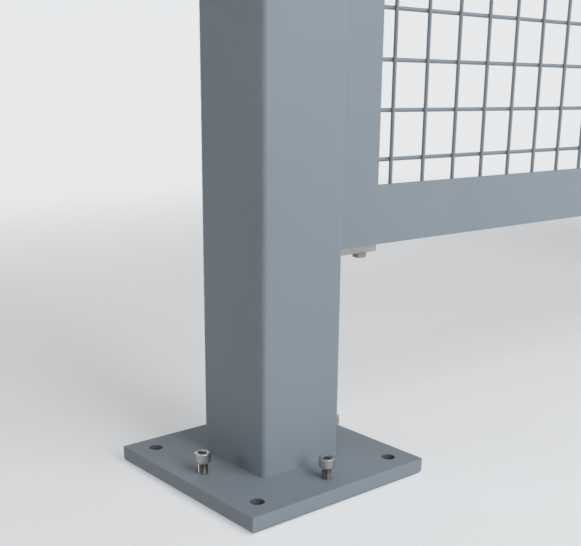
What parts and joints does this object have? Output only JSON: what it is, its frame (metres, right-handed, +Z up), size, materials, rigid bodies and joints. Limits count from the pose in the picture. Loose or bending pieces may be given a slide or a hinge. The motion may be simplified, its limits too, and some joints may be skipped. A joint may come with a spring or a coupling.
{
  "type": "wire mesh guard",
  "caption": "Framed panel of welded wire mesh bracketed between square steel posts, each on a square base plate with corner anchor holes and levelling screws.",
  "frame": {"origin": "on the floor, midway between the two posts, in the plane through both posts' axes", "axes": "+X runs along the panel from the left post to the right one, -Y is the front, where the panel is set back from the posts' faces, +Z is up"},
  "size_m": [1.669, 0.225, 2],
  "materials": {
    "powder_coat": "satin blue-grey powder coat with a fine orange peel",
    "zinc_plate": "bright zinc plating, slightly uneven",
    "plain_steel": "bare stainless steel, turned and rolled",
    "cap_plastic": "moulded matte plastic with a fine grain"
  },
  "bodies": {
    "guard": {"left_base_plate": "powder_coat", "right_base_plate": "powder_coat", "left_post": "powder_coat", "right_post": "powder_coat", "left_post_cap": "cap_plastic", "right_post_cap": "cap_plastic", "bottom_rail": "powder_coat", "top_rail": "powder_coat", "left_stile": "powder_coat", "right_stile": "powder_coat", "vertical_wires": "powder_coat", "horizontal_wires": "powder_coat", "lower_left_bracket": "zinc_plate", "lower_right_bracket": "zinc_plate", "upper_left_bracket": "zinc_plate", "upper_right_bracket": "zinc_plate", "lower_left_nut_plate": "plain_steel", "lower_right_nut_plate": "plain_steel", "upper_left_nut_plate": "plain_steel", "upper_right_nut_plate": "plain_steel", "post_bolts": "zinc_plate", "post_bolt_washers": "zinc_plate", "panel_bolts": "zinc_plate", "panel_bolt_washers": "zinc_plate", "panel_nuts": "zinc_plate"},
    "left_front_levelling_screw": {"left_front_levelling_screw": "plain_steel"},
    "left_rear_levelling_screw": {"left_rear_levelling_screw": "plain_steel"},
    "left_outer_levelling_screw": {"left_outer_levelling_screw": "plain_steel"},
    "left_inner_levelling_screw": {"left_inner_levelling_screw": "plain_steel"},
    "right_front_levelling_screw": {"right_front_levelling_screw": "plain_steel"},
    "right_rear_levelling_screw": {"right_rear_levelling_screw": "plain_steel"},
    "right_outer_levelling_screw": {"right_outer_levelling_screw": "plain_steel"},
    "right_inner_levelling_screw": {"right_inner_levelling_screw": "plain_steel"}
  },
  "joints": [
    {"name": "left_front_level", "type": "slide", "parent": "guard", "child": "left_front_levelling_screw", "axis": [0, 0, 1], "range_m": [-0.012, 0.008]},
    {"name": "left_rear_level", "type": "slide", "parent": "guard", "child": "left_rear_levelling_screw", "axis": [0, 0, 1], "range_m": [-0.012, 0.008]},
    {"name": "left_outer_level", "type": "slide", "parent": "guard", "child": "left_outer_levelling_screw", "axis": [0, 0, 1], "range_m": [-0.012, 0.008]},
    {"name": "left_inner_level", "type": "slide", "parent": "guard", "child": "left_inner_levelling_screw", "axis": [0, 0, 1], "range_m": [-0.012, 0.008]},
    {"name": "right_front_level", "type": "slide", "parent": "guard", "child": "right_front_levelling_screw", "axis": [0, 0, 1], "range_m": [-0.012, 0.008]},
    {"name": "right_rear_level", "type": "slide", "parent": "guard", "child": "right_rear_levelling_screw", "axis": [0, 0, 1], "range_m": [-0.012, 0.008]},
    {"name": "right_outer_level", "type": "slide", "parent": "guard", "child": "right_outer_levelling_screw", "axis": [0, 0, 1], "range_m": [-0.012, 0.008]},
    {"name": "right_inner_level", "type": "slide", "parent": "guard", "child": "right_inner_levelling_screw", "axis": [0, 0, 1], "range_m": [-0.012, 0.008]}
  ]
}
